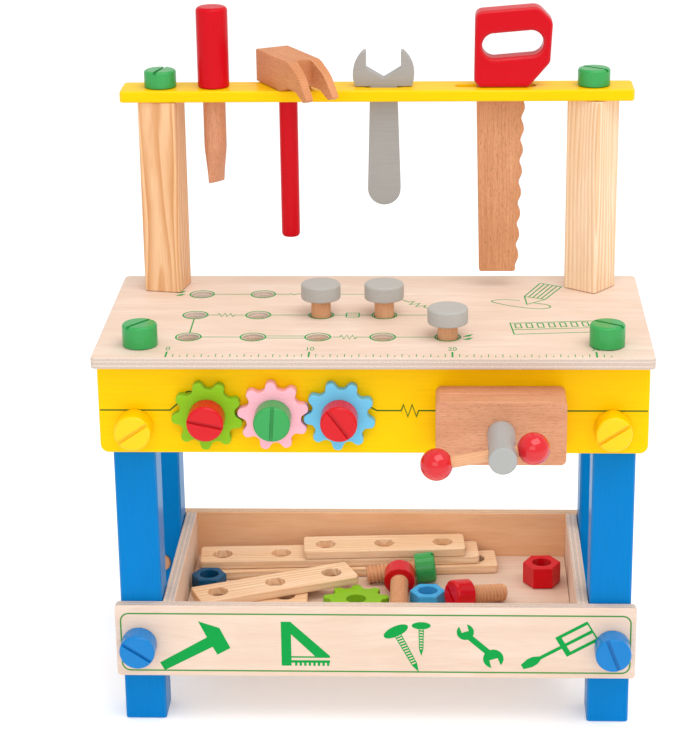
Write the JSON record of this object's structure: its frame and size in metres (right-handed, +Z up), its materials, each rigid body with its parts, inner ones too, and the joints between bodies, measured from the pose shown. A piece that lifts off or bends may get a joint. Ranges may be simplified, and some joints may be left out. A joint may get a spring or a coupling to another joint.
{
  "type": "toy tool bench",
  "caption": "Wooden toy tool bench with a drilled play top, a tool rack on two posts holding toy tools, a gear train and a screw vise on the front, and a tray of loose nuts, bolts and straps.",
  "frame": {"origin": "floor level, in the middle of the whole object's box seen from above", "axes": "+Z up, +X to the right seen from the front, the front faces -Y"},
  "size_m": [0.387, 0.2814, 0.4986],
  "materials": {
    "plywood": "pale birch plywood, bare, with thin green printing",
    "pine": "bare pine, straight grain",
    "beech": "bare beech, fine flecked grain",
    "dowel": "bare turned dowel",
    "yellow_paint": "yellow gloss paint on wood",
    "blue_paint": "blue gloss paint on wood",
    "sky_blue_paint": "sky blue gloss paint on wood",
    "green_paint": "green gloss paint on wood",
    "lime_paint": "lime green gloss paint on wood",
    "pink_paint": "pink gloss paint on wood",
    "red_paint": "red gloss paint on wood",
    "grey_paint": "grey satin paint on wood"
  },
  "bodies": {
    "bench": {"apron_bolt_left": "yellow_paint", "apron_bolt_right": "yellow_paint", "back_apron": "yellow_paint", "corner_bolt_left": "green_paint", "corner_bolt_right": "green_paint", "front_apron": "yellow_paint", "leg_front_left": "blue_paint", "leg_front_right": "blue_paint", "leg_rear_left": "blue_paint", "leg_rear_right": "blue_paint", "post_left": "pine", "post_right": "pine", "rack_bolt_left": "green_paint", "rack_bolt_right": "green_paint", "tabletop": "plywood", "tool_rack": "yellow_paint", "tray_back": "plywood", "tray_bolt_front_left": "blue_paint", "tray_bolt_front_right": "blue_paint", "tray_bolt_rear_left": "blue_paint", "tray_bolt_rear_right": "blue_paint", "tray_floor": "plywood", "tray_front": "plywood", "tray_left": "plywood", "tray_right": "plywood", "vise_rear_jaw": "beech"},
    "gear_green": {"gear_green": "lime_paint"},
    "gear_pink": {"gear_pink": "pink_paint"},
    "gear_blue": {"gear_blue": "sky_blue_paint"},
    "gear_bolt_green": {"gear_bolt_green": "red_paint"},
    "gear_bolt_pink": {"gear_bolt_pink": "green_paint"},
    "gear_bolt_blue": {"gear_bolt_blue": "red_paint"},
    "vise_jaw": {"vise_front_jaw": "beech"},
    "vise_spindle": {"vise_screw": "grey_paint"},
    "vise_handle": {"vise_bar": "dowel", "vise_ball_left": "red_paint", "vise_ball_right": "red_paint"},
    "screwdriver": {"screwdriver_handle": "red_paint", "screwdriver_blade": "beech"},
    "hammer": {"hammer_head": "beech", "hammer_handle": "red_paint"},
    "saw": {"saw_handle": "red_paint", "saw_blade": "beech"},
    "peg_left": {"peg_left": "grey_paint"},
    "peg_middle": {"peg_middle": "grey_paint"},
    "peg_right": {"peg_right": "grey_paint"},
    "strap_lowest": {"strap_lowest": "pine"},
    "strap_long": {"strap_long": "pine"},
    "strap_upper": {"strap_upper": "pine"},
    "strap_short": {"strap_short": "pine"},
    "strap_slanted": {"strap_slanted": "pine"},
    "nut_dark_blue": {"nut_dark_blue": "blue_paint"},
    "nut_light_blue": {"nut_light_blue": "sky_blue_paint"},
    "nut_red": {"nut_red": "red_paint"},
    "gear_loose": {"gear_loose": "lime_paint"},
    "loose_bolt_green": {"loose_bolt_green": "green_paint"},
    "loose_bolt_red": {"loose_bolt_red": "red_paint"},
    "loose_bolt_red_small": {"loose_bolt_red_small": "red_paint"},
    "wrench": {"wrench": "grey_paint"}
  },
  "joints": [
    {"name": "gear_green_spin", "type": "hinge", "parent": "bench", "child": "gear_green", "pos_m": [-0.1146, -0.06015, 0.243], "axis": [0, -1, 0], "continuous": true},
    {"name": "gear_pink_spin", "type": "hinge", "parent": "bench", "child": "gear_pink", "pos_m": [-0.0686, -0.06015, 0.243], "axis": [0, -1, 0], "continuous": true},
    {"name": "gear_blue_spin", "type": "hinge", "parent": "bench", "child": "gear_blue", "pos_m": [-0.0226, -0.06015, 0.243], "axis": [0, -1, 0], "continuous": true},
    {"name": "gear_bolt_green_turn", "type": "hinge", "parent": "bench", "child": "gear_bolt_green", "pos_m": [-0.1146, -0.0642, 0.243], "axis": [0, -1, 0], "continuous": true},
    {"name": "gear_bolt_pink_turn", "type": "hinge", "parent": "bench", "child": "gear_bolt_pink", "pos_m": [-0.0686, -0.0642, 0.243], "axis": [0, -1, 0], "continuous": true},
    {"name": "gear_bolt_blue_turn", "type": "hinge", "parent": "bench", "child": "gear_bolt_blue", "pos_m": [-0.0226, -0.0642, 0.243], "axis": [0, -1, 0], "continuous": true},
    {"name": "vise_jaw_slide", "type": "slide", "parent": "bench", "child": "vise_jaw", "axis": [0, -1, 0], "range_m": [0, 0.0255]},
    {"name": "vise_screw_turn", "type": "hinge", "parent": "vise_jaw", "child": "vise_spindle", "pos_m": [0.0883, -0.0892, 0.2405], "axis": [0, -1, 0], "range_deg": [0, 1800]},
    {"name": "vise_handle_slide", "type": "slide", "parent": "vise_spindle", "child": "vise_handle", "axis": [0.9842, 0, 0.1771], "range_m": [0, 0.0236]},
    {"name": "peg_left_slide", "type": "slide", "parent": "bench", "child": "peg_left", "axis": [0, 0, 1], "range_m": [-0.0127, 0.03]},
    {"name": "peg_middle_slide", "type": "slide", "parent": "bench", "child": "peg_middle", "axis": [0, 0, 1], "range_m": [-0.0127, 0.03]},
    {"name": "peg_right_slide", "type": "slide", "parent": "bench", "child": "peg_right", "axis": [0, 0, 1], "range_m": [-0.0105, 0.03]},
    {"name": "screwdriver_lift", "type": "slide", "parent": "bench", "child": "screwdriver", "axis": [0, 0, 1], "range_m": [0, 0.08]},
    {"name": "hammer_lift", "type": "slide", "parent": "bench", "child": "hammer", "axis": [0, 0, 1], "range_m": [0, 0.122]},
    {"name": "wrench_lift", "type": "slide", "parent": "bench", "child": "wrench", "axis": [0, 0, 1], "range_m": [0, 0.1]},
    {"name": "saw_lift", "type": "slide", "parent": "bench", "child": "saw", "axis": [0, 0, 1], "range_m": [0, 0.15]},
    {"name": "strap_lowest_lift", "type": "slide", "parent": "bench", "child": "strap_lowest", "axis": [0, 0, 1], "range_m": [0, 0.045]},
    {"name": "strap_long_lift", "type": "slide", "parent": "strap_lowest", "child": "strap_long", "axis": [0, 0, 1], "range_m": [0, 0.045]},
    {"name": "strap_upper_lift", "type": "slide", "parent": "strap_long", "child": "strap_upper", "axis": [0, 0, 1], "range_m": [0, 0.045]},
    {"name": "strap_short_lift", "type": "slide", "parent": "bench", "child": "strap_short", "axis": [0, 0, 1], "range_m": [0, 0.045]},
    {"name": "strap_slanted_lift", "type": "slide", "parent": "strap_short", "child": "strap_slanted", "axis": [0, 0, 1], "range_m": [0, 0.045]},
    {"name": "nut_dark_blue_lift", "type": "slide", "parent": "bench", "child": "nut_dark_blue", "axis": [0, 0, 1], "range_m": [0, 0.045]},
    {"name": "nut_light_blue_lift", "type": "slide", "parent": "bench", "child": "nut_light_blue", "axis": [0, 0, 1], "range_m": [0, 0.045]},
    {"name": "nut_red_lift", "type": "slide", "parent": "bench", "child": "nut_red", "axis": [0, 0, 1], "range_m": [0, 0.045]},
    {"name": "gear_loose_lift", "type": "slide", "parent": "bench", "child": "gear_loose", "axis": [0, 0, 1], "range_m": [0, 0.045]},
    {"name": "loose_bolt_green_lift", "type": "slide", "parent": "bench", "child": "loose_bolt_green", "axis": [0, 0, 1], "range_m": [0, 0.045]},
    {"name": "loose_bolt_red_lift", "type": "slide", "parent": "bench", "child": "loose_bolt_red", "axis": [0, 0, 1], "range_m": [0, 0.045]},
    {"name": "loose_bolt_red_small_lift", "type": "slide", "parent": "bench", "child": "loose_bolt_red_small", "axis": [0, 0, 1], "range_m": [0, 0.045]}
  ],
  "couplings": [
    {"joint": "gear_pink_spin", "follows": "gear_green_spin", "ratio": -1},
    {"joint": "gear_blue_spin", "follows": "gear_green_spin", "ratio": 1},
    {"joint": "vise_jaw_slide", "follows": "vise_screw_turn", "m_per_rad": 0.00079577}
  ]
}
